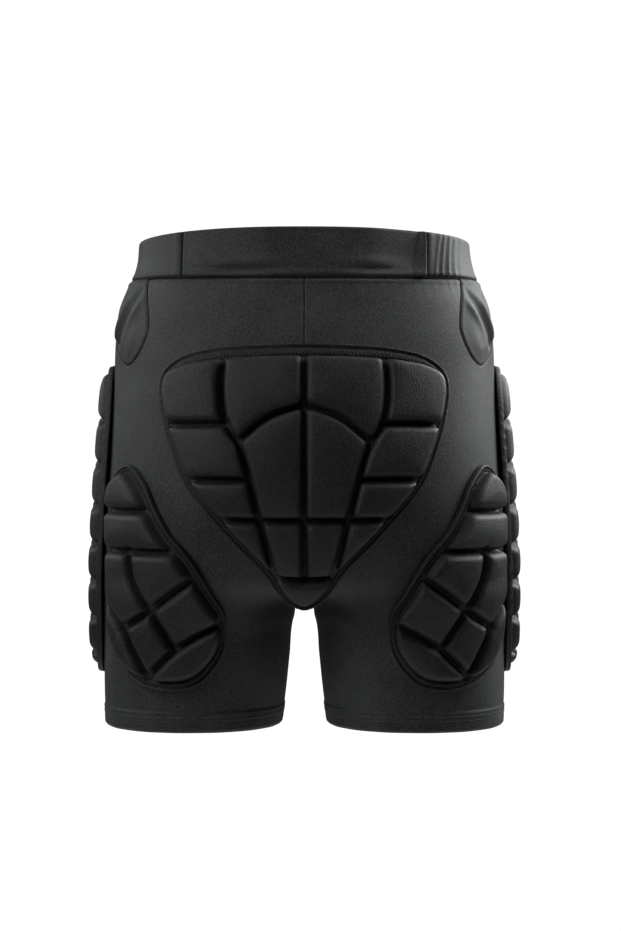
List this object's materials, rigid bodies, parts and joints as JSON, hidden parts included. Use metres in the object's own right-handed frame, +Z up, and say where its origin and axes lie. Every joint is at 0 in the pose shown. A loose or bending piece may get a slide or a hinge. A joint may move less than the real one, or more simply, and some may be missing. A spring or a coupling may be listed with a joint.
{
  "type": "padded protective shorts",
  "caption": "Hip pad shorts: a hollow shell of black stretch cloth, in its worn shape, with raised foam block pads over the tailbone, the backs of the thighs and the hips.",
  "frame": {"origin": "centre of the waist opening, level with the waistband's rim at the sides", "axes": "+Z up out of the waist, +Y towards the wearer's front, +X towards the wearer's right"},
  "size_m": [0.3768, 0.2562, 0.4223],
  "materials": {
    "cloth": "matte stretch knit with a faint sheen",
    "waistband": "matte folded knit over elastic",
    "pad_backing": "matte knit, bound edge",
    "pad_foam": "fine ribbed knit moulded over foam"
  },
  "bodies": {
    "root": {"panel_right": "cloth", "panel_left": "cloth", "gusset_right": "cloth", "gusset_left": "cloth", "waistband_back": "waistband", "waistband_front": "waistband", "tail_pad_backing": "pad_backing", "tail_pad_foam": "pad_foam", "thigh_pad_backing_right": "pad_backing", "thigh_pad_foam_right": "pad_foam", "thigh_pad_backing_left": "pad_backing", "thigh_pad_foam_left": "pad_foam", "hip_pad_backing_right": "pad_backing", "hip_pad_backing_left": "pad_backing", "hip_pad_foam_right": "pad_foam", "hip_pad_foam_left": "pad_foam"}
  },
  "joints": []
}
